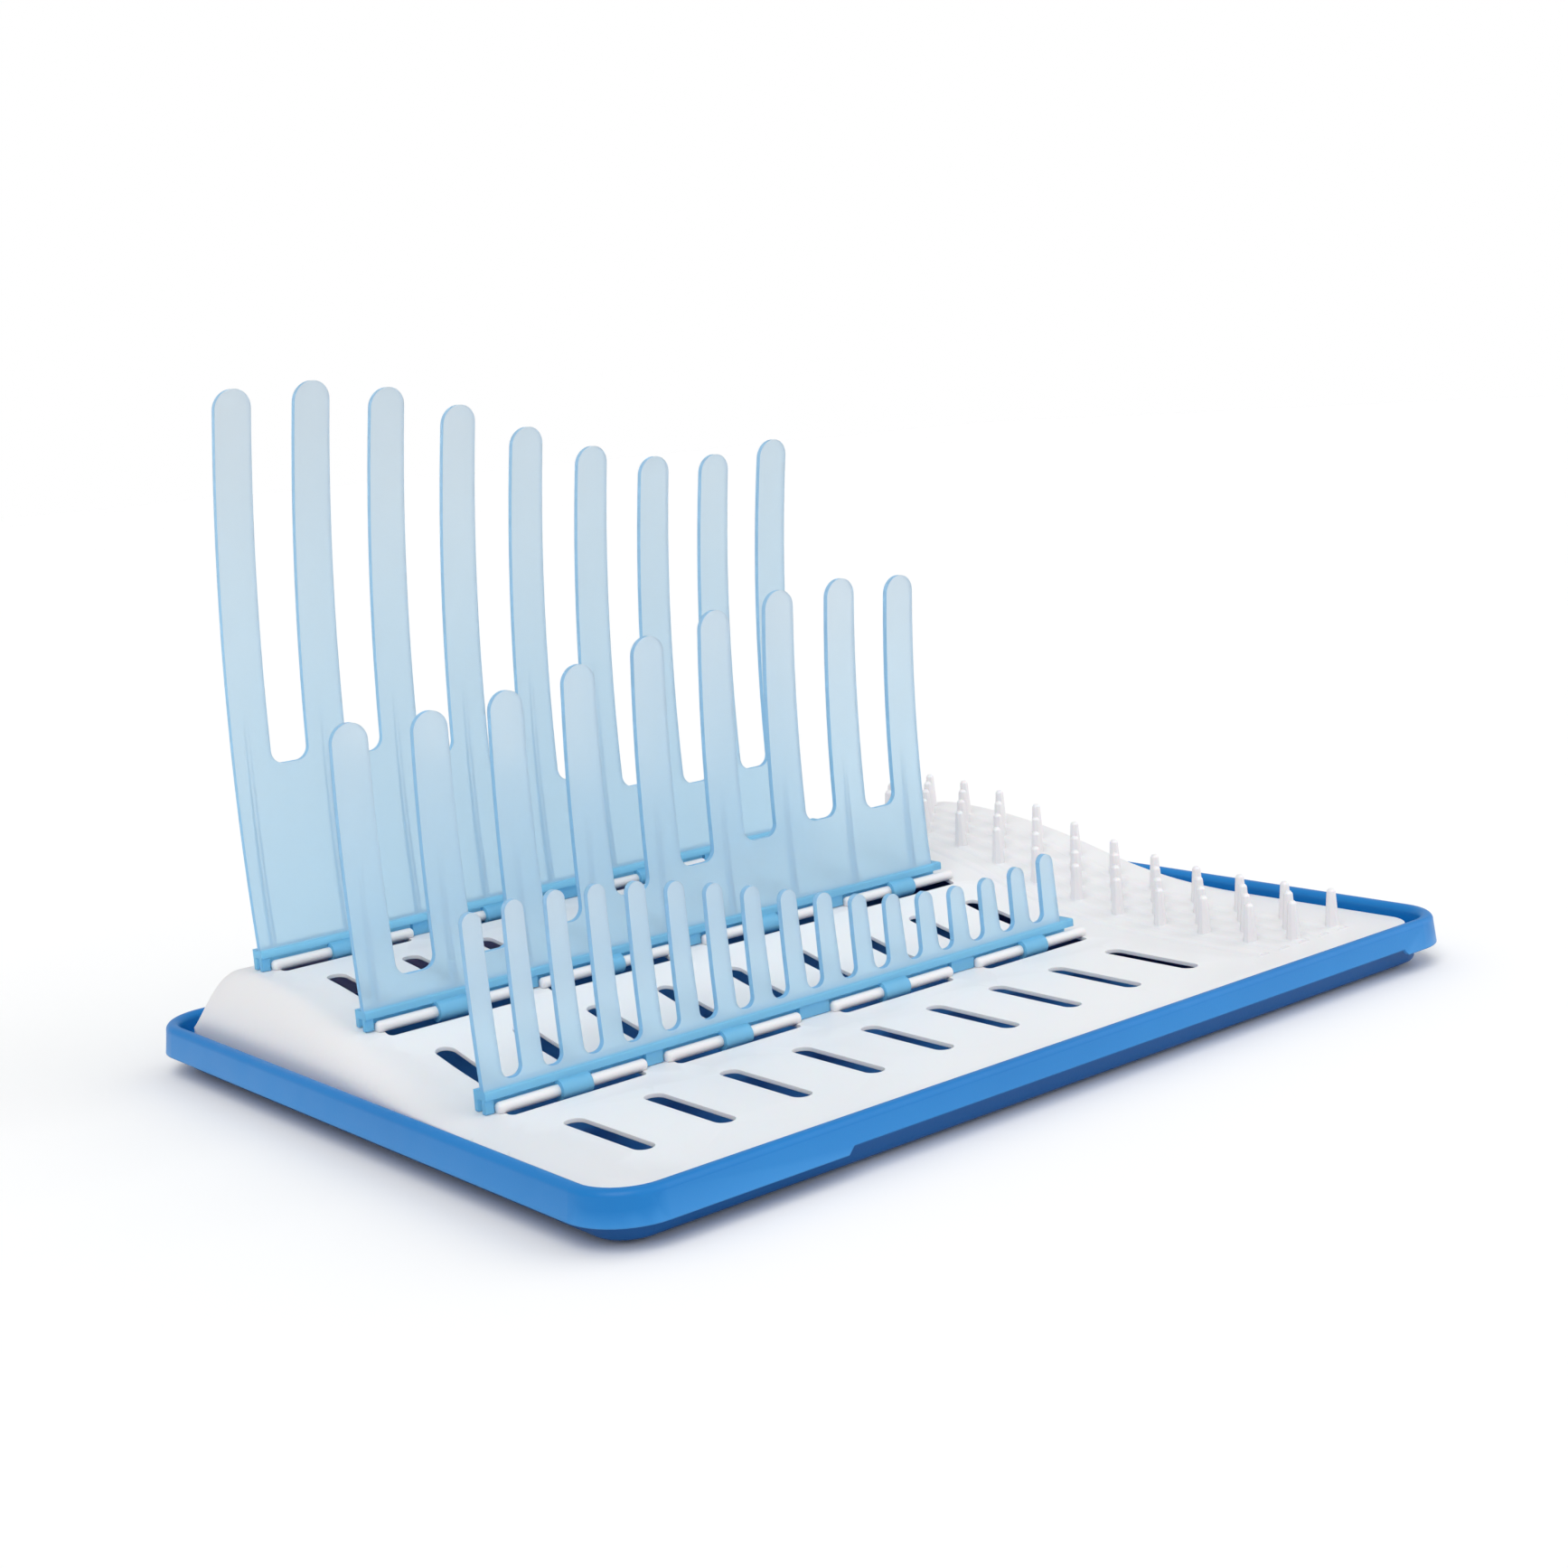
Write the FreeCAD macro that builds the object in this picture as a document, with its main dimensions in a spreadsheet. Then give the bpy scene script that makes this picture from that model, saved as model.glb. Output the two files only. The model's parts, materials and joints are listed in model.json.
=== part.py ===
import FreeCAD, Part
import math
import os
import Sketcher
from FreeCAD import Placement, Rotation, Vector

# Bottle drying rack: a drip tray, a drain deck that lifts out of it, three combs
# of tines that snap onto rods on the deck and fold forward, and four foot pads.
# Millimetres. X runs along the tray, Y to the back, Z up. The origin is under the
# middle of the tray, on the plane that the foot pads stand on.

doc = FreeCAD.newDocument("bottle_drying_rack")
sheet = doc.addObject("Spreadsheet::Sheet", "dims")

SIZES = [
    # tray
    ("tray_length", 400.0), ("tray_width", 300.0), ("tray_corner", 18.0),
    ("tray_base", 1.5), ("tray_rim", 20.0), ("floor_thick", 2.2),
    ("foot_length", 34.0), ("foot_width", 10.0), ("foot_sunk", 0.6),
    ("foot_span_x", 290.0), ("foot_span_y", 224.0),
    ("grip_start", -115.0), ("grip_end", 172.0), ("grip_lift", 2.4),
    # deck
    ("deck_length", 386.0), ("deck_width", 285.0), ("deck_corner", 13.0),
    ("deck_low", 16.2), ("deck_rise", 25.5), ("deck_skin", 1.5),
    ("deck_seat", 13.05), ("ramp_front", -75.3), ("ramp_back", 106.4),
    ("hill_rear", 136.2), ("end_shoulder", 12.5), ("rear_shoulder", 31.3),
    ("slot_pitch", 31.58), ("slot_width", 7.6), ("slot_first", -161.15),
    ("slot_long", 43.8), ("slot_short", 35.0),
    ("slot_row_one", -94.0), ("slot_row_two", -13.0), ("slot_row_three", 60.2),
    ("peg_pitch_x", 12.0), ("peg_pitch_y", 22.6), ("peg_first_x", 131.0),
    ("peg_first_y", -121.0), ("peg_height", 15.5), ("peg_root", 2.9), ("peg_tip", 1.8),
    ("ridge_pitch", 12.0), ("ridge_first_x", 119.0),
    # hinges
    ("rod_radius", 2.1), ("rod_length", 59.8), ("rod_lift", 1.56),
    ("rod_one_x", -144.5), ("rod_two_x", -76.4), ("rod_three_x", -1.4), ("rod_four_x", 71.3),
    ("rod_slot_length", 54.8), ("rod_slot_width", 9.8),
    ("front_hinge_y", -50.4), ("middle_hinge_y", 24.1), ("rear_hinge_y", 98.8),
    # combs
    ("comb_length", 273.6), ("comb_centre_x", -41.5), ("web_thick", 2.2),
    ("web_bend", 560.0), ("web_crown", 4.3), ("web_crown_up", 65.0),
    ("clip_outer", 3.8), ("clip_inner", 2.18), ("clip_length", 12.0),
    ("rib_thick", 1.6), ("rib_depth", 3.0),
    ("front_pitch", 16.2), ("front_top", 48.3), ("front_floor", 8.6),
    ("middle_pitch", 31.75), ("middle_top", 118.0), ("middle_floor", 25.5),
    ("rear_pitch", 31.1), ("rear_top", 191.3), ("rear_floor", 54.0),
]
for row, (alias, value) in enumerate(SIZES, 1):
    sheet.set("A%d" % row, alias)
    sheet.set("B%d" % row, str(value))
    sheet.setAlias("B%d" % row, alias)
doc.recompute()


def size(alias):
    return float(sheet.get(alias))


# ---------------------------------------------------------------- helpers

def new_body(name):
    body = doc.addObject("PartDesign::Body", name)
    body.Label = name
    return body


def new_sketch(body, name, role, shift=0.0, shift_size=None):
    """Sketch on one of the body's own planes, moved along the plane's normal."""
    sketch = body.newObject("Sketcher::SketchObject", name)
    plane = [f for f in body.Origin.OriginFeatures if f.Role == role][0]
    sketch.AttachmentSupport = [(plane, "")]
    sketch.MapMode = "FlatFace"
    sketch.AttachmentOffset = Placement(Vector(0, 0, shift), Rotation())
    if shift_size:
        sketch.setExpression("AttachmentOffset.Base.z", shift_size)
    return sketch


def draw_loop(sketch, start, steps):
    """Closed outline. A step is (x, y) for a line, (x, y, mid_x, mid_y) for an arc."""
    edges, here = [], Vector(start[0], start[1], 0)
    first = here
    for step in steps:
        there = Vector(step[0], step[1], 0)
        if len(step) == 4:
            edges.append((Part.Arc(here, Vector(step[2], step[3], 0), there), here))
        else:
            edges.append((Part.LineSegment(here, there), here))
        here = there
    if (here - first).Length > 1e-6:
        edges.append((Part.LineSegment(here, first), here))
    ids = sketch.addGeometry([edge for edge, _ in edges], False)
    ends = []
    for number, (_, begin) in zip(ids, edges):
        flipped = (sketch.getPoint(number, 1) - begin).Length > 1e-6
        ends.append((number, 2 if flipped else 1, 1 if flipped else 2))
    for (a, _, a_end), (b, b_start, _) in zip(ends, ends[1:] + ends[:1]):
        sketch.addConstraint(Sketcher.Constraint("Coincident", a, a_end, b, b_start))
    return ids


def draw_rounded(sketch, length, width, radius):
    """Rounded rectangle about the sketch origin. The sizes are sheet formulas."""
    l, w, r = [sheet_value(formula) for formula in (length, width, radius)]
    x, y = l / 2, w / 2
    corners = [(x - r, y - r, 0), (r - x, y - r, 90), (r - x, r - y, 180), (x - r, r - y, 270)]
    lines = [((x - r, y), (r - x, y)), ((-x, y - r), (-x, r - y)),
             ((r - x, -y), (x - r, -y)), ((x, r - y), (x, y - r))]
    for (ax, ay), (bx, by) in lines:
        sketch.addGeometry(Part.LineSegment(Vector(ax, ay, 0), Vector(bx, by, 0)), False)
    for cx, cy, turn in corners:
        circle = Part.Circle(Vector(cx, cy, 0), Vector(0, 0, 1), r)
        sketch.addGeometry(Part.ArcOfCircle(circle, math.radians(turn),
                                            math.radians(turn + 90)), False)
    add = sketch.addConstraint
    for k in range(4):
        add(Sketcher.Constraint("Tangent", 4 + k, 2, k, 1))
        add(Sketcher.Constraint("Tangent", k, 2, 4 + (k + 1) % 4, 1))
    for k in (0, 2):
        add(Sketcher.Constraint("Horizontal", k))
        add(Sketcher.Constraint("Vertical", k + 1))
    for k in (5, 6, 7):
        add(Sketcher.Constraint("Equal", 4, k))
    add(Sketcher.Constraint("Symmetric", 4, 3, 6, 3, -1, 1))
    for kind, ids, value, formula in (("DistanceX", (1, 1, 3, 1), l, length),
                                      ("DistanceY", (2, 1, 0, 1), w, width),
                                      ("Radius", (4,), r, radius)):
        number = add(Sketcher.Constraint(kind, *ids, value))
        sketch.renameConstraint(number, kind + "Size")
        sketch.setExpression("Constraints." + kind + "Size", formula)


def sheet_value(formula):
    """Number for a formula of the form 'dims.name' or 'dims.name - number'."""
    words = formula.replace("dims.", "").split()
    total = size(words[0])
    if len(words) == 3:
        total += float(words[2]) * (1 if words[1] == "+" else -1)
    return total


def finish_feature(body, feature):
    body.Tip = feature
    doc.recompute()
    assert feature.State == [] or "Invalid" not in feature.State, feature.Name
    assert not feature.Shape.isNull() and feature.Shape.isValid(), feature.Name
    return feature


def pad(body, sketch, name, length, both=False, back=False):
    feature = body.newObject("PartDesign::Pad", name)
    feature.Profile = sketch
    feature.setExpression("Length", length)
    feature.Midplane = both
    feature.Reversed = back
    sketch.Visibility = False
    return finish_feature(body, feature)


def pocket(body, sketch, name, length=None, both=False, back=False):
    doc.recompute()
    before = body.Shape.Volume
    feature = body.newObject("PartDesign::Pocket", name)
    feature.Profile = sketch
    if length is None:
        feature.Type = "ThroughAll"
    else:
        feature.Length = length
    feature.Midplane = both
    feature.Reversed = back
    sketch.Visibility = False
    finish_feature(body, feature)
    assert body.Shape.Volume < before - 1.0, name + " cut nothing"
    return feature


def repeat(body, base, name, count, pitch, role="X_Axis"):
    """Linear pattern of one feature, with the pitch taken from the sheet."""
    axis = [f for f in body.Origin.OriginFeatures if f.Role == role][0]
    feature = body.newObject("PartDesign::LinearPattern", name)
    feature.Originals = [base]
    feature.Direction = (axis, [""])
    feature.Occurrences = count
    feature.setExpression("Length", "%s * %d" % (pitch, count - 1))
    return finish_feature(body, feature)


# ---------------------------------------------------------------- drip tray

def build_tray():
    """One moulding: a swept rim and wall, a flat floor, and a grip under the front."""
    body = new_body("drip_tray")
    rim = size("tray_rim")
    base = size("tray_base") - rim
    path = new_sketch(body, "rim_path", "XY_Plane", rim, "dims.tray_rim")
    draw_rounded(path, "dims.tray_length", "dims.tray_width", "dims.tray_corner")
    half = size("tray_length") / 2
    section = new_sketch(body, "wall_section", "XZ_Plane")
    # outward distance from the crest line and height below the crest
    outline = [(2.5, -2.3, 1.8, -0.7), (3.6, -11.0), (1.9, -11.0), (0.9, -3.8), (-0.8, -3.8),
               (-0.9, -9.0), (-3.2, -9.0), (-5.0, base + 2.6), (-7.6, base, -5.8, base + 0.7),
               (-13.0, base), (-13.0, base + 2.2), (-10.9, base + 2.2),
               (-9.4, base + 3.7, -9.85, base + 2.65), (-9.0, -7.0), (-2.7, -7.0),
               (-2.7, -2.3), (0.0, 0.0, -1.9, -0.6)]
    moved = [tuple(v + (half if k % 2 == 0 else rim) for k, v in enumerate(step))
             for step in outline]
    draw_loop(section, (half, rim), moved)
    wall = body.newObject("PartDesign::AdditivePipe", "rim_and_wall")
    wall.Profile = section
    wall.Spine = (path, ["Edge%d" % (k + 1) for k in range(8)])
    finish_feature(body, wall)
    plate = new_sketch(body, "floor_outline", "XY_Plane", size("tray_base"), "dims.tray_base")
    draw_rounded(plate, "dims.tray_length - 24", "dims.tray_width - 24", "dims.tray_corner - 12")
    pad(body, plate, "floor", "dims.floor_thick")
    # shallow finger grip where the skirt of the front wall is shorter
    front = size("tray_width") / 2 + 6.0
    grip = new_sketch(body, "grip_outline", "XZ_Plane", front)
    low, high = rim - 12.0, rim - 11.0 + size("grip_lift")
    left, right = size("grip_start"), size("grip_end")
    draw_loop(grip, (left, low), [(left + 3.5, high), (right - 3.5, high), (right, low)])
    pocket(body, grip, "front_grip", 5.2)
    for k, (sx, sy) in enumerate(((-1, -1), (1, -1), (1, 1), (-1, 1))):
        seat = new_sketch(body, "foot_seat_%d" % (k + 1), "XY_Plane", size("tray_base"))
        draw_slot(seat, sx * size("foot_span_x") / 2, sy * size("foot_span_y") / 2,
                  size("foot_length") + 0.2, size("foot_width") + 0.2, along_x=True)
        pocket(body, seat, "foot_recess_%d" % (k + 1), size("foot_sunk"), back=True)
    return body


def draw_slot(sketch, x, y, length, width, along_x=False, radius=None):
    """Slot about (x, y). Full rounded ends unless a corner radius is given."""
    a, b = (length / 2, width / 2) if along_x else (width / 2, length / 2)
    r = radius if radius else min(a, b) - 0.01
    d = r * (1 - math.sqrt(0.5))
    draw_loop(sketch, (x + a, y + b - r), [
        (x + a - r, y + b, x + a - d, y + b - d), (x - a + r, y + b),
        (x - a, y + b - r, x - a + d, y + b - d), (x - a, y - b + r),
        (x - a + r, y - b, x - a + d, y - b + d), (x + a - r, y - b),
        (x + a, y - b + r, x + a - d, y - b + d), (x + a, y + b - r)])


def build_foot(name, x, y):
    """Thin soft pad with round ends, let into the tray's underside."""
    body = new_body(name)
    outline = new_sketch(body, name + "_outline", "XY_Plane")
    draw_slot(outline, 0, 0, size("foot_length"), size("foot_width"), along_x=True)
    pad(body, outline, name + "_pad", "dims.tray_base + dims.foot_sunk - 0.05")
    body.Placement = Placement(Vector(x, y, 0), Rotation())
    return body


# ---------------------------------------------------------------- drain deck

def end_swell(distance):
    """Share of full height at a distance inside the deck's left or right edge.

    The shoulder is round and stands upright at the edge. Outside the edge the law is
    mirrored, so that a curve fitted through it stays smooth.
    """
    share = min(abs(distance) / size("end_shoulder"), 1.0)
    return math.copysign(math.sqrt(math.sin(math.pi / 2 * share)), distance)


def rear_swell(distance):
    """Share of full height at a distance in front of the hill's rear edge."""
    share = min(max(distance / size("rear_shoulder"), 0.0), 1.0)
    return 1 - (1 - share) ** 3


def ramp(y):
    """Share of the deck's rise, from the low front to the crest at the back."""
    t = (y - size("ramp_front")) / (size("ramp_back") - size("ramp_front"))
    t = min(max(t, 0.0), 1.0)
    return 2 * t * t if t < 0.5 else 1 - 2 * (1 - t) ** 2


def deck_height(x, y):
    """Height of the deck's top face, away from pegs, ridges and openings."""
    across = end_swell(size("deck_length") / 2 - abs(x))
    return size("deck_low") + size("deck_rise") * ramp(y) * across * rear_swell(size("hill_rear") - y)


def fitted_curve(stations, law):
    curve = Part.BSplineCurve()
    curve.interpolate([Vector(s, law(s), 0) for s in stations])
    return curve


def shoulder_stations(edge, reach):
    """Stations from well inside the shoulder out to the edge, closer together near it."""
    inside = [edge - reach - gap for gap in (20.0, 10.0, 3.3)]
    return inside + [edge - reach * k for k in (1, 0.7, 0.45, 0.3, 0.18, 0.1, 0.05, 0.02, 0.005, 0)]


def form_under(inset, bottom):
    """Solid below the deck's smooth top, drawn in from the edge by inset."""
    half_x = size("deck_length") / 2 - inset
    half_y = size("deck_width") / 2 - inset
    end, hill = size("end_shoulder"), size("hill_rear") - inset
    side = shoulder_stations(half_x, end) + [half_x + end * k for k in (0.02, 0.06, 0.12)]
    xs = [-s for s in reversed(side)] + [side[0] * k / 3.0 for k in range(-2, 3)] + side
    back = shoulder_stations(hill, size("rear_shoulder"))
    front = [-half_y - 2.0, -half_y + 6.0]
    steps = int((back[0] - front[1]) / 9.0)
    ys = front + [front[1] + (back[0] - front[1]) * k / steps for k in range(1, steps)]
    ys += back + [hill + 0.4, hill + 1.5, hill + 4.0, half_y + 2.0]
    across = fitted_curve(xs, lambda x: end_swell(half_x - abs(x)))
    along = fitted_curve(ys, lambda y: size("deck_rise") * ramp(y) * rear_swell(hill - y))
    level = size("deck_low") - inset
    poles = [[Vector(p.x, q.x, level + p.y * q.y) for q in along.getPoles()]
             for p in across.getPoles()]
    top = Part.BSplineSurface()
    top.buildFromPolesMultsKnots(poles, across.getMultiplicities(), along.getMultiplicities(),
                                 across.getKnots(), along.getKnots(), False, False,
                                 across.Degree, along.Degree)
    below = top.toShape().extrude(Vector(0, 0, -60))
    radius = size("deck_corner") - inset
    block = Part.makeBox(2 * half_x, 2 * half_y, 70, Vector(-half_x, -half_y, bottom))
    upright = [e for e in block.Edges if abs(e.Length - 70) < 1e-6]
    return below.common(block.makeFillet(radius, upright))


def peg(x, y):
    """Tapered eight-sided peg with a smaller top facet, rooted in the deck's skin."""
    level, height = deck_height(x, y), size("peg_height")
    rings = ((size("peg_root"), level - 1.2), (size("peg_tip"), level + height - 1.0),
             (size("peg_tip") - 0.8, level + height))

    def ring(radius, z):
        spots = [math.radians(22.5 + 45 * k) for k in range(9)]
        return Part.makePolygon([Vector(x + radius * math.cos(a), y + radius * math.sin(a), z)
                                 for a in spots])
    return Part.makeLoft([ring(*r) for r in rings], True, True)


# distance from the ridge's middle line and height of its face over the deck
RIDGE_SECTION = ((-3.9, -0.3), (-2.4, 0.55), (-1.0, 0.95), (1.0, 0.95), (2.4, 0.55), (3.9, -0.3))


def build_deck():
    """One moulding: skin, pegs, ridges and hinge rods, with the slots cut through."""
    skin = form_under(0.0, size("deck_seat"))
    skin = skin.cut(form_under(size("deck_skin"), -20.0))
    pegs = [peg(size("peg_first_x") + size("peg_pitch_x") * column,
                size("peg_first_y") + size("peg_pitch_y") * (row + half_step))
            for column, rows, half_step in ((0, 10, 0.5), (1, 11, 0), (2, 10, 0.5), (3, 11, 0))
            for row in range(rows)]
    form = doc.addObject("Part::Feature", "deck_form")
    form.Shape = skin.fuse(pegs)
    form.Placement = Placement()
    body = new_body("drain_deck")
    body.BaseFeature = form
    doc.recompute()

    repeat(body, build_ridge(body), "ridges", 5, "dims.ridge_pitch")

    slots = new_sketch(body, "drain_slots", "XY_Plane", 60.0)
    for k in range(9):
        x = size("slot_first") + size("slot_pitch") * k
        draw_slot(slots, x, size("slot_row_one"), size("slot_long"), size("slot_width"))
        for y in (size("slot_row_two"), size("slot_row_three")):
            draw_slot(slots, x, y, size("slot_short"), size("slot_width"))
    pocket(body, slots, "drain_openings")

    wells = new_sketch(body, "rod_wells", "XY_Plane", 60.0)
    for y in hinge_lines():
        for x in rod_centres():
            draw_slot(wells, x, y, size("rod_slot_length"), size("rod_slot_width"),
                      along_x=True, radius=2.0)
    pocket(body, wells, "rod_openings")

    for name, y in zip(("front", "middle", "rear"), hinge_lines()):
        build_rods(body, name, y)
    return body


def build_ridge(body):
    """Low soft ridge that follows the ramp of the deck, lofted through lengthwise cuts."""
    stops = [-126.0] + [size("ramp_front") + 15.0 * k for k in range(12)] + [102.0]
    cuts = []
    for number, (aside, up) in enumerate(RIDGE_SECTION, 1):
        cut = new_sketch(body, "ridge_cut_%d" % number, "YZ_Plane", size("ridge_first_x") + aside)
        top = [(y, deck_height(0, y) + up) for y in stops]
        under = [(y, deck_height(0, y) - 1.0) for y in reversed(stops)]
        draw_loop(cut, top[0], top[1:] + under)
        cut.Visibility = False
        cuts.append(cut)
    loft = body.newObject("PartDesign::AdditiveLoft", "first_ridge")
    loft.Profile = cuts[0]
    loft.Sections = cuts[1:]
    loft.Ruled = True
    return finish_feature(body, loft)


def hinge_lines():
    return [size(name + "_hinge_y") for name in ("front", "middle", "rear")]


def hinge_height(y):
    return deck_height(0, y) + size("rod_lift")


ROD_NUMBERS = ("one", "two", "three", "four")


def rod_centres():
    return [size("rod_%s_x" % number) for number in ROD_NUMBERS]


def build_rods(body, name, y):
    """Four rods in line, turned about the hinge line, with domed ends in the deck."""
    half, r, nose = size("rod_length") / 2, size("rod_radius"), 1.4
    sketch = new_sketch(body, name + "_rod_outline", "XY_Plane", hinge_height(y))
    bend = nose * (1 - math.sqrt(0.5))
    for x in rod_centres():
        draw_loop(sketch, (x - half, y), [
            (x - half, y + r - nose), (x - half + nose, y + r, x - half + bend, y + r - bend),
            (x + half - nose, y + r), (x + half, y + r - nose, x + half - bend, y + r - bend),
            (x + half, y)])
    axis = sketch.addGeometry(Part.LineSegment(Vector(-200, y, 0), Vector(110, y, 0)), True)
    turn = body.newObject("PartDesign::Revolution", name + "_rods")
    turn.Profile = sketch
    turn.ReferenceAxis = (sketch, ["Axis0"])
    turn.Angle = 360
    sketch.Visibility = False
    return finish_feature(body, turn)


# ---------------------------------------------------------------- combs

def wave(place):
    """Gentle wave that the tips and gap floors follow; place counts wide tines."""
    return math.cos(math.pi * (place - 0.7) / 6.1)


def web_back(up):
    """How far behind the hinge line the middle of the web lies at a height."""
    return size("web_crown") - (up - size("web_crown_up")) ** 2 / (2 * size("web_bend"))


COMBS = {
    # tines, tip and root widths, swing of the tips and of the gap floors,
    # gap corner radius, top of the ribs
    "front": dict(tines=17, tip=7.2, root=8.2, swing=17.5, floor_swing=0.0,
                  corner=3.6, rib_top=0.0),
    "middle": dict(tines=9, tip=14.0, root=15.6, swing=-12.4, floor_swing=-10.0,
                   corner=5.0, rib_top=66.0),
    "rear": dict(tines=9, tip=14.0, root=15.6, swing=20.6, floor_swing=20.0,
                 corner=5.0, rib_top=112.0),
}
FOOT_BACK = 6.6       # how far the foot reaches behind the hinge line
LIP_BACK = 2.2        # the same for the lips between the rods
CLEAR = 0.2           # space left between a comb and the deck's face


def first_tine(spec):
    """The first tine is flush with the left end of the foot."""
    return spec["tip"] / 2 - size("comb_length") / 2


def comb_outline(row, spec):
    """Front view of the comb: tapered tines with round tips, gaps with round corners."""
    half, tip, root = size("comb_length") / 2, spec["tip"] / 2, spec["root"] / 2
    corner, steps_per_place = spec["corner"], 8.0 / (spec["tines"] - 1)
    bend = corner * (1 - math.sqrt(0.5))
    pitch = size(row + "_pitch")
    steps = []
    for k in range(spec["tines"]):
        x = first_tine(spec) + pitch * k
        top = size(row + "_top") + spec["swing"] * wave(k * steps_per_place)
        steps += [(x - tip, top - tip), (x + tip, top - tip, x, top)]
        if k == spec["tines"] - 1:
            break
        floor = size(row + "_floor") + spec["floor_swing"] * wave((k + 0.5) * steps_per_place)
        left, right = x + root, x + pitch - root
        steps += [(left, floor + corner),
                  (left + corner, floor, left + bend, floor + bend),
                  (right - corner, floor),
                  (right, floor + corner, right - bend, floor + bend)]
    return (-half, -5.0), steps + [(x + root, -5.0)]


def build_comb(row, y):
    """One moulding: bent web cut into tines, foot along the base, lips, ribs and clips."""
    spec, name = COMBS[row], row + "_comb"
    body = new_body(name)
    thick = size("web_thick")
    highest = size(row + "_top") + abs(spec["swing"]) + 4.0

    web = new_sketch(body, name + "_web_section", "YZ_Plane")
    low, middle = 4.5, (4.5 + highest) / 2
    back, front = thick / 2, -thick / 2
    draw_loop(web, (web_back(low) + front, low), [
        (web_back(highest) + front, highest, web_back(middle) + front, middle),
        (web_back(highest) + back, highest),
        (web_back(low) + back, low, web_back(middle) + back, middle)])
    pad(body, web, name + "_web", "dims.comb_length", both=True)

    outline = new_sketch(body, name + "_outline", "XZ_Plane")
    start, steps = comb_outline(row, spec)
    draw_loop(outline, start, steps)
    reach, ceiling = size("comb_length") / 2 + 10.0, highest + 10.0
    draw_loop(outline, (-reach, -10.0), [(-reach, ceiling), (reach, ceiling), (reach, -10.0)])
    pocket(body, outline, name + "_tines", 80.0, both=True)

    foot = new_sketch(body, name + "_foot_section", "YZ_Plane")
    heel = deck_height(0, y + FOOT_BACK) - hinge_height(y) + CLEAR
    draw_loop(foot, (-0.4, 3.4), [(-0.4, 5.6), (0.4, 6.4, -0.17, 6.17), (FOOT_BACK, 6.4),
                                  (FOOT_BACK, heel), (4.7, heel), (4.7, 3.4)])
    pad(body, foot, name + "_foot", "dims.comb_length", both=True)

    # lips that reach down to the deck at the left end and between the rods
    lips = new_sketch(body, name + "_lip_outline", "XZ_Plane", -0.2)
    under = deck_height(0, y + LIP_BACK) - hinge_height(y) + CLEAR
    centre, half_rod = size("comb_centre_x"), size("rod_length") / 2 + 0.6
    starts = [-size("comb_length") / 2] + [x - centre + half_rod for x in rod_centres()[:3]]
    ends = [x - centre - half_rod for x in rod_centres()]
    for left, right in zip(starts, ends):
        draw_loop(lips, (left, under), [(left, 4.0), (right, 4.0), (right, under)])
    pad(body, lips, name + "_lips", "%.1f" % (LIP_BACK - 0.2), back=True)

    for number in ROD_NUMBERS:
        place = "dims.rod_%s_x - dims.comb_centre_x" % number
        clip = new_sketch(body, "%s_clip_%s_section" % (name, number), "YZ_Plane",
                          size("rod_%s_x" % number) - centre, place)
        draw_clip(clip)
        pad(body, clip, "%s_clip_%s" % (name, number), "dims.clip_length", both=True)

    if spec["rib_top"]:
        rib = new_sketch(body, name + "_rib_section", "YZ_Plane", first_tine(spec))
        base, tip = 6.0, spec["rib_top"]
        half_way, depth = (base + tip) / 2, size("rib_depth")
        draw_loop(rib, (web_back(base), base), [
            (web_back(base) + back + depth, base),
            (web_back(tip) + 0.2, tip, web_back(half_way) + back + depth / 2, half_way),
            (web_back(base), base, web_back(half_way) + 0.1, half_way)])
        first = pad(body, rib, name + "_first_rib", "dims.rib_thick", both=True)
        repeat(body, first, name + "_ribs", spec["tines"], "dims.%s_pitch" % row)
    body.Placement = Placement(Vector(centre, y, hinge_height(y)), Rotation())
    body.setExpression("Placement.Base.x", "dims.comb_centre_x")
    body.setExpression("Placement.Base.y", "dims.%s_hinge_y" % row)
    doc.recompute()
    return body


def draw_clip(sketch):
    """C-shaped clip round the rod, open at the back and low down."""
    inner, outer = size("clip_inner"), size("clip_outer")
    begin, end = math.radians(62), math.radians(298)
    middle = (begin + end) / 2

    def spot(radius, angle):
        return (radius * math.cos(angle), radius * math.sin(angle))
    draw_loop(sketch, spot(outer, begin), [
        spot(outer, end) + spot(outer, middle), spot(inner, end),
        spot(inner, begin) + spot(inner, middle)])


# ---------------------------------------------------------------- assembly

nodes = [build_tray(), build_deck()]
nodes += [build_comb(row, y) for row, y in zip(COMBS, hinge_lines())]
corners = (("front_left", -1, -1), ("front_right", 1, -1), ("rear_right", 1, 1), ("rear_left", -1, 1))
for corner, sx, sy in corners:
    nodes.append(build_foot("foot_" + corner, sx * size("foot_span_x") / 2,
                            sy * size("foot_span_y") / 2))
doc.recompute()

for item in doc.Objects:
    assert "Invalid" not in item.State and "Error" not in item.State, item.Name
os.makedirs("parts", exist_ok=True)
for node in nodes:
    shape = node.Shape
    assert not shape.isNull() and shape.isValid() and len(shape.Solids) == 1, node.Label
    box = shape.BoundBox
    print("%-18s volume %9.0f  x %.1f..%.1f  y %.1f..%.1f  z %.1f..%.1f" % (
        node.Label, shape.Volume, box.XMin, box.XMax, box.YMin, box.YMax, box.ZMin, box.ZMax))
    shape.exportStep("parts/%s.step" % node.Label)
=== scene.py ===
import json
import math
import bpy
from mathutils import Matrix, Vector


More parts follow.
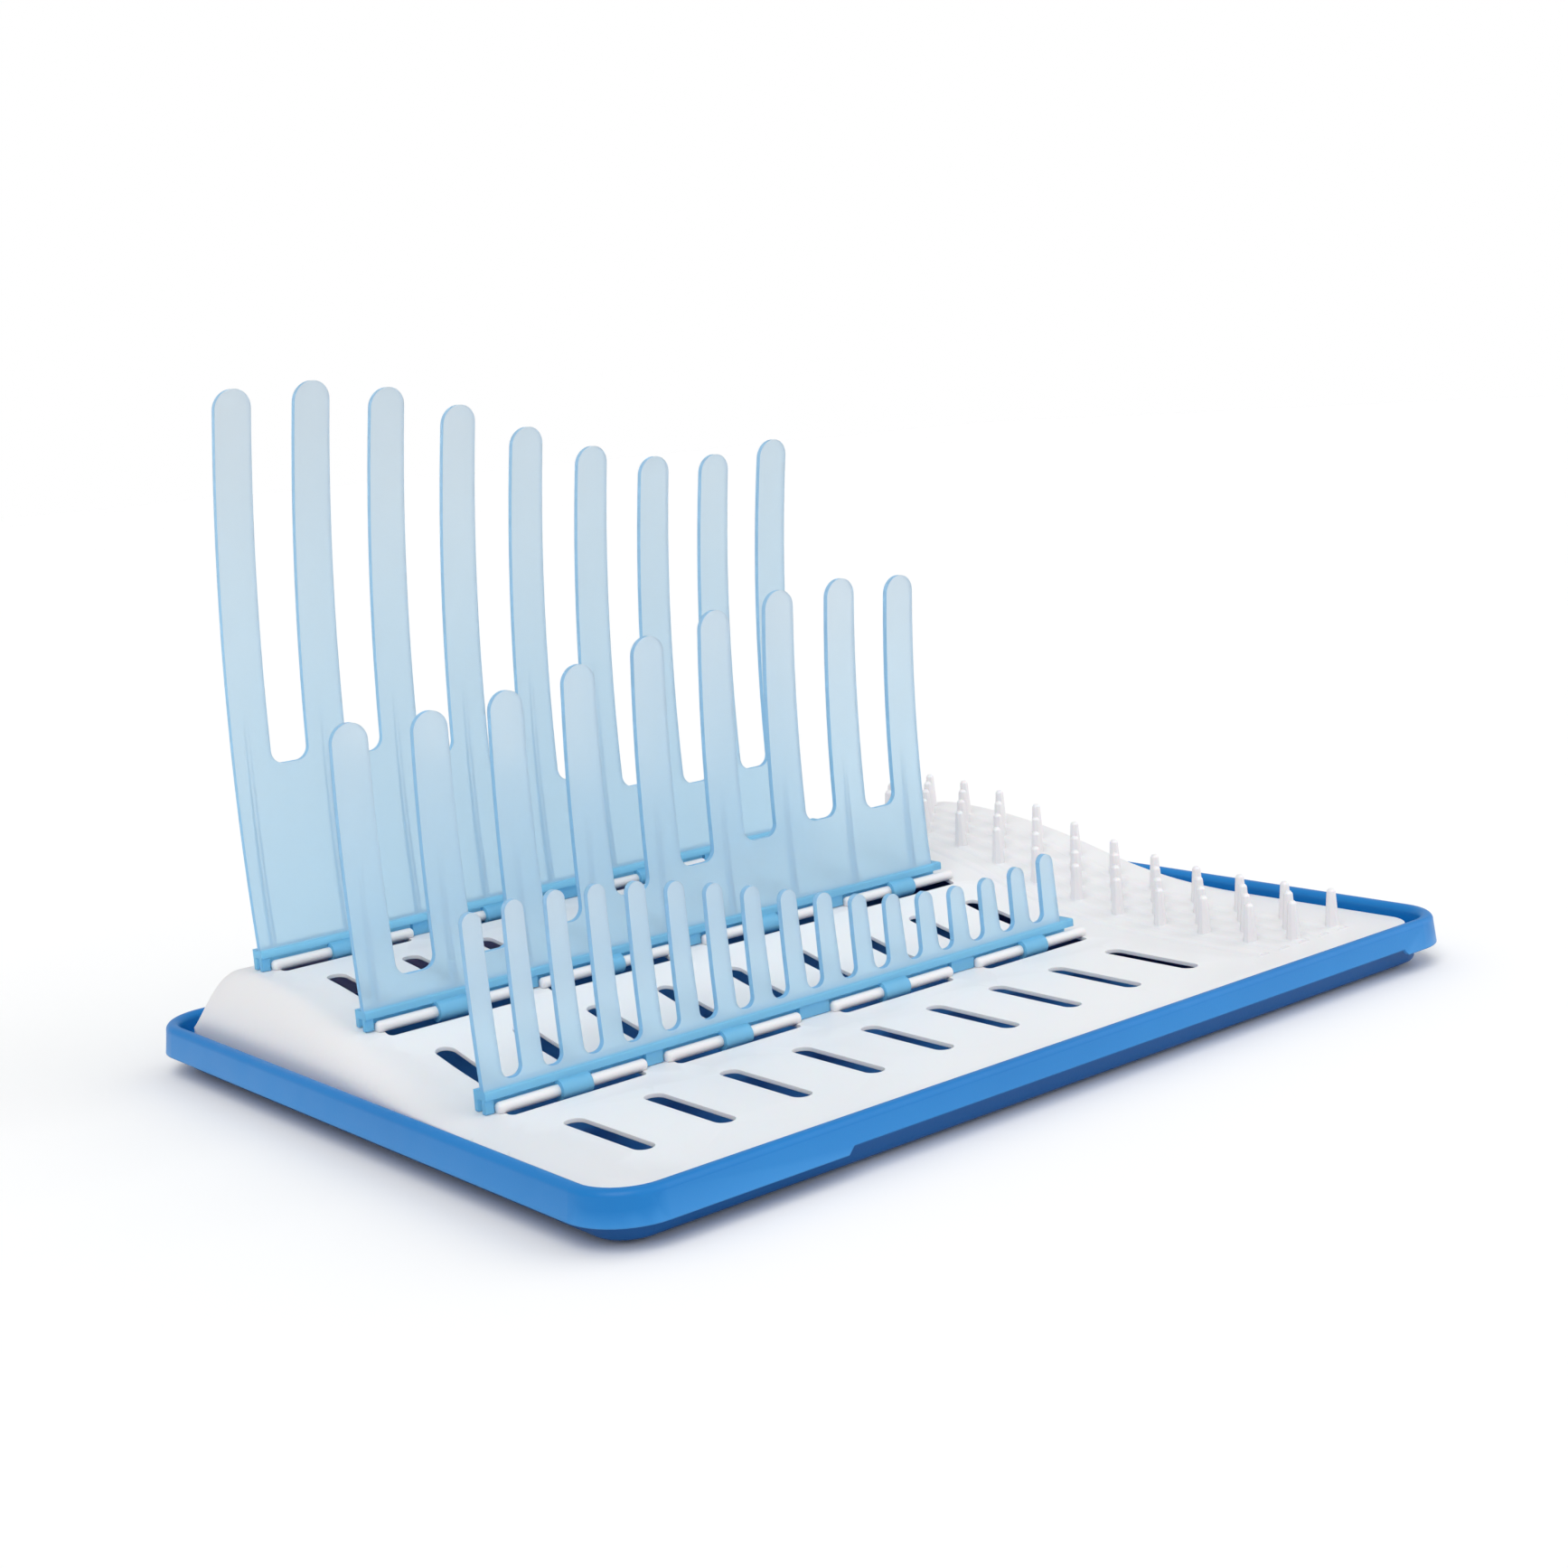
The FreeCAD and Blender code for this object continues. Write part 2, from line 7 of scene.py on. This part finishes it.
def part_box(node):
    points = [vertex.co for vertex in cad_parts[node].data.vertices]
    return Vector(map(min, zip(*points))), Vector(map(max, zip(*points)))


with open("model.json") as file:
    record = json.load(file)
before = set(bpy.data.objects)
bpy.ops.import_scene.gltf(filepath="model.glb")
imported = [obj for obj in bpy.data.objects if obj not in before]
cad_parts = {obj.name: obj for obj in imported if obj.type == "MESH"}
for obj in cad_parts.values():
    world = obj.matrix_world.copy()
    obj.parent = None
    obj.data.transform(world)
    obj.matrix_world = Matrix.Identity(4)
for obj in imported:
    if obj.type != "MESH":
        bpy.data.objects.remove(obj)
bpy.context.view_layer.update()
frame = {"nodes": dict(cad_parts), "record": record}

scene = bpy.context.scene

# sizes in metres, angles in degrees
SKY = 0.62               # strength of the white surroundings as a light
FLOOR_REACH = 6.0        # half the side of the floor
YAW, PITCH, ROLL = 38.908, 10.107, -4.332
LENS, SENSOR = 52.527, 36.0
EYE = (-0.5415, -0.6651, 0.2441)
FOOT_TOP = (0.0062, 0.0072)      # where a comb's deep blue foot ends, above its hinge line
SKIRT_LOW = (0.0075, 0.0095)     # where the tray's shaded lower body ends


def linear(r, g, b):
    """Screen colour, 0 to 255, as the linear colour that a shader takes."""
    def one(c):
        c = c / 255.0
        return c / 12.92 if c <= 0.04045 else ((c + 0.055) / 1.055) ** 2.4
    return (one(r), one(g), one(b), 1.0)


class Nodes:
    """Small helper that adds and joins the nodes of one material."""

    def __init__(self, name):
        self.material = bpy.data.materials.new(name)
        self.material.use_nodes = True
        self.tree = self.material.node_tree
        self.tree.nodes.clear()
        self.out = self.tree.nodes.new("ShaderNodeOutputMaterial")
        self.shader = self.tree.nodes.new("ShaderNodeBsdfPrincipled")
        self.join(self.shader.outputs["BSDF"], self.out.inputs["Surface"])
        self.place = self.tree.nodes.new("ShaderNodeTexCoord")

    def join(self, a, b):
        self.tree.links.new(a, b)

    def set(self, **values):
        for name, value in values.items():
            self.shader.inputs[name.replace("_", " ")].default_value = value

    def stretched(self, scale):
        node = self.tree.nodes.new("ShaderNodeMapping")
        node.inputs["Scale"].default_value = scale
        self.join(self.place.outputs["Object"], node.inputs["Vector"])
        return node.outputs["Vector"]

    def noise(self, scale, detail=2.0, rough=0.5, vector=None):
        node = self.tree.nodes.new("ShaderNodeTexNoise")
        node.inputs["Scale"].default_value = scale
        node.inputs["Detail"].default_value = detail
        node.inputs["Roughness"].default_value = rough
        self.join(vector or self.place.outputs["Object"], node.inputs["Vector"])
        return node.outputs["Fac"]

    def span(self, value, low, high, to_low, to_high):
        node = self.tree.nodes.new("ShaderNodeMapRange")
        node.clamp = True
        for key, number in (("From Min", low), ("From Max", high),
                            ("To Min", to_low), ("To Max", to_high)):
            node.inputs[key].default_value = number
        self.join(value, node.inputs["Value"])
        return node.outputs["Result"]

    def sums(self, kind, a, b):
        node = self.tree.nodes.new("ShaderNodeMath")
        node.operation = kind
        for value, socket in zip((a, b), node.inputs):
            if isinstance(value, (int, float)):
                socket.default_value = value
            else:
                self.join(value, socket)
        return node.outputs["Value"]

    def mix(self, share, a, b, kind="MIX"):
        node = self.tree.nodes.new("ShaderNodeMix")
        node.data_type = "RGBA"
        node.blend_type = kind
        if isinstance(share, (int, float)):
            node.inputs["Factor"].default_value = share
        else:
            self.join(share, node.inputs["Factor"])
        for value, name in ((a, "A"), (b, "B")):
            socket = [s for s in node.inputs if s.name == name and s.type == "RGBA"][0]
            if isinstance(value, tuple):
                socket.default_value = value
            else:
                self.join(value, socket)
        return [s for s in node.outputs if s.type == "RGBA"][0]

    def parts(self, output):
        node = self.tree.nodes.new("ShaderNodeSeparateXYZ")
        self.join(self.place.outputs[output], node.inputs["Vector"])
        return node.outputs

    def bump(self, height, distance, strength=1.0, radius=None):
        node = self.tree.nodes.new("ShaderNodeBump")
        node.inputs["Strength"].default_value = strength
        node.inputs["Distance"].default_value = distance
        self.join(height, node.inputs["Height"])
        if radius:
            bevel = self.tree.nodes.new("ShaderNodeBevel")
            bevel.samples = 6
            bevel.inputs["Radius"].default_value = radius
            self.join(bevel.outputs["Normal"], node.inputs["Normal"])
        self.join(node.outputs["Normal"], self.shader.inputs["Normal"])

    def edge_highlight(self, low=0.52, high=0.60):
        # painted highlight mask: 1 on sharp convex edges, where a light colour stands in for the
        # glint of light on them
        node = self.tree.nodes.new("ShaderNodeNewGeometry")
        return self.span(node.outputs["Pointiness"], low, high, 0.0, 1.0)


def tray_material():
    """Semi-gloss blue polypropylene with a fine moulded grain."""
    m = Nodes("tray_blue")
    cloud = m.span(m.noise(9.0, 3.0), 0.35, 0.65, 0.0, 1.0)
    body = m.mix(cloud, linear(4, 114, 186), linear(8, 122, 195))
    # painted shade: below SKIRT_LOW the tray's lower body is darkened towards a deep blue,
    # standing in for the shadow under the skirt
    low = m.span(m.parts("Object")["Z"], *SKIRT_LOW, 1.0, 0.0)
    # painted light: upward-facing faces low on the tray get a lighter blue, as if lit from above,
    # instead of the painted shade
    level = m.span(m.parts("Normal")["Z"], 0.6, 0.9, 0.0, 1.0)
    body = m.mix(m.sums("MULTIPLY", low, 0.75), body, linear(4, 74, 138))
    body = m.mix(m.sums("MULTIPLY", low, level), body, linear(64, 150, 222))
    # painted highlight: the tray's convex edges are lightened to a pale blue
    body = m.mix(m.sums("MULTIPLY", m.edge_highlight(), 0.35), body, linear(92, 172, 236))
    m.join(body, m.shader.inputs["Base Color"])
    rough = m.span(m.noise(60.0, 4.0), 0.3, 0.7, 0.34, 0.44)
    m.join(rough, m.shader.inputs["Roughness"])
    m.set(Specular_IOR_Level=0.35, Subsurface_Weight=0.06, Subsurface_Scale=0.003)
    m.bump(m.noise(1400.0, 2.0), 0.00006, 0.5, radius=0.0006)
    return m.material


def deck_material():
    """Satin white polypropylene, with faint flow marks and a painted highlight on its edges."""
    m = Nodes("deck_white")
    cloud = m.span(m.noise(7.0, 3.0, vector=m.stretched((1.0, 0.45, 1.0))), 0.35, 0.65, 0.0, 1.0)
    body = m.mix(cloud, linear(227, 226, 228), linear(233, 232, 234))
    # painted highlight: the deck's convex edges are lightened to near white
    body = m.mix(m.sums("MULTIPLY", m.edge_highlight(), 0.3), body, linear(250, 250, 252))
    m.join(body, m.shader.inputs["Base Color"])
    rough = m.span(m.noise(45.0, 4.0), 0.3, 0.7, 0.30, 0.42)
    m.join(rough, m.shader.inputs["Roughness"])
    m.set(Specular_IOR_Level=0.4, Subsurface_Weight=0.12, Subsurface_Scale=0.005)
    m.bump(m.noise(1100.0, 2.0), 0.00005, 0.5, radius=0.0005)
    return m.material


def comb_material(name, base_z, crest):
    """Frosted blue plastic: pale on the tines, deep on the foot and the cut edges."""
    m = Nodes(name)
    up = m.sums("SUBTRACT", m.parts("Object")["Z"], base_z)
    foot = m.span(up, *FOOT_TOP, 1.0, 0.0)
    edge = m.span(m.sums("ABSOLUTE", m.parts("Normal")["Y"], 0.0), 0.45, 0.8, 1.0, 0.0)
    cloud = m.span(m.noise(14.0, 3.0, vector=m.stretched((1.0, 1.0, 0.4))), 0.35, 0.65, 0.0, 1.0)
    pale = m.mix(cloud, linear(227, 240, 248), linear(233, 243, 249))
    pale = m.mix(m.span(up, 0.01, crest, 0.0, 1.0), linear(208, 237, 252), pale)
    body = m.mix(m.sums("MULTIPLY", edge, 0.6), pale, linear(96, 196, 252))
    body = m.mix(m.sums("MULTIPLY", foot, 0.9), body, linear(140, 220, 255))
    m.join(body, m.shader.inputs["Base Color"])
    rough = m.span(m.noise(80.0, 4.0), 0.3, 0.7, 0.36, 0.46)
    m.join(rough, m.shader.inputs["Roughness"])
    m.set(Transmission_Weight=0.54, IOR=1.30, Specular_IOR_Level=0.5)
    m.bump(m.noise(900.0, 2.0), 0.00005, 0.5, radius=0.0005)
    return m.material


def foot_material():
    """Matt grey rubber."""
    m = Nodes("foot_grey")
    cloud = m.span(m.noise(120.0, 4.0), 0.35, 0.65, 0.0, 1.0)
    m.join(m.mix(cloud, linear(176, 177, 180), linear(196, 197, 200)),
           m.shader.inputs["Base Color"])
    m.join(m.span(m.noise(300.0, 3.0), 0.3, 0.7, 0.65, 0.85), m.shader.inputs["Roughness"])
    m.bump(m.noise(1500.0, 2.0), 0.0001, 0.6, radius=0.0004)
    return m.material


def hinge_height(comb):
    for joint in frame["record"]["behaviour"]["joints"]:
        if joint["name"] == comb + "_fold":
            return joint["pos_m"][2]


looks = {"drip_tray": tray_material(), "drain_deck": deck_material()}
for comb in ("front_comb", "middle_comb", "rear_comb"):
    base = hinge_height(comb)
    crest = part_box(comb)[1][2] - base
    looks[comb] = comb_material(comb + "_blue", base, crest)
rubber = foot_material()
for name, node in frame["nodes"].items():
    look = looks.get(name, rubber)
    for slot in range(len(node.data.materials)):
        node.data.materials[slot] = look

# ---------------------------------------------------------------- floor and light

floor_mesh = bpy.data.meshes.new("floor")
corners = [(x * FLOOR_REACH, y * FLOOR_REACH, 0) for x, y in ((-1, -1), (1, -1), (1, 1), (-1, 1))]
floor_mesh.from_pydata(corners, [], [(0, 1, 2, 3)])
floor = bpy.data.objects.new("floor", floor_mesh)
scene.collection.objects.link(floor)
m = Nodes("floor_white")
m.join(m.mix(m.noise(3.0, 2.0), linear(248, 248, 248), linear(252, 252, 252)),
       m.shader.inputs["Base Color"])
m.set(Roughness=0.9, Specular_IOR_Level=0.1)
floor_mesh.materials.append(m.material)

world = bpy.data.worlds.new("studio")
world.use_nodes = True
sky = world.node_tree
dim = sky.nodes["Background"]
dim.inputs["Color"].default_value = (1.0, 1.0, 1.0, 1.0)
dim.inputs["Strength"].default_value = SKY
bright = sky.nodes.new("ShaderNodeBackground")
bright.inputs["Color"].default_value = (1.0, 1.0, 1.0, 1.0)
bright.inputs["Strength"].default_value = 1.0
path = sky.nodes.new("ShaderNodeLightPath")
choice = sky.nodes.new("ShaderNodeMixShader")
sky.links.new(path.outputs["Is Camera Ray"], choice.inputs["Fac"])
sky.links.new(dim.outputs["Background"], choice.inputs[1])
sky.links.new(bright.outputs["Background"], choice.inputs[2])
sky.links.new(choice.outputs["Shader"], sky.nodes["World Output"].inputs["Surface"])
scene.world = world


def soft_sun(name, place, spread, share):
    """Wide sun that adds a share of full white to a level white surface."""
    data = bpy.data.lights.new(name, "SUN")
    toward = Vector(place).normalized()
    data.angle = math.radians(spread)
    data.energy = share * math.pi / toward.z
    lamp = bpy.data.objects.new(name, data)
    lamp.location = toward * 2.0
    lamp.rotation_euler = (-toward).to_track_quat("-Z", "Y").to_euler()
    scene.collection.objects.link(lamp)


soft_sun("key", (-0.9, -0.7, 1.5), 40.0, 0.32)
soft_sun("fill", (1.3, -1.0, 0.9), 60.0, 0.13)

# ---------------------------------------------------------------- camera

yaw, pitch, roll = (math.radians(angle) for angle in (YAW, PITCH, ROLL))
ahead = Vector((math.sin(yaw) * math.cos(pitch), math.cos(yaw) * math.cos(pitch),
                -math.sin(pitch)))
level = ahead.cross(Vector((0, 0, 1))).normalized()
right = math.cos(roll) * level + math.sin(roll) * level.cross(ahead)
upward = right.cross(ahead)
turn = Matrix((right, upward, -ahead)).transposed().to_4x4()
eye = bpy.data.objects.new("camera", bpy.data.cameras.new("camera"))
eye.data.sensor_width = SENSOR
eye.data.lens = LENS
eye.matrix_world = Matrix.Translation(EYE) @ turn
scene.collection.objects.link(eye)
scene.camera = eye
scene.view_settings.view_transform = "Standard"
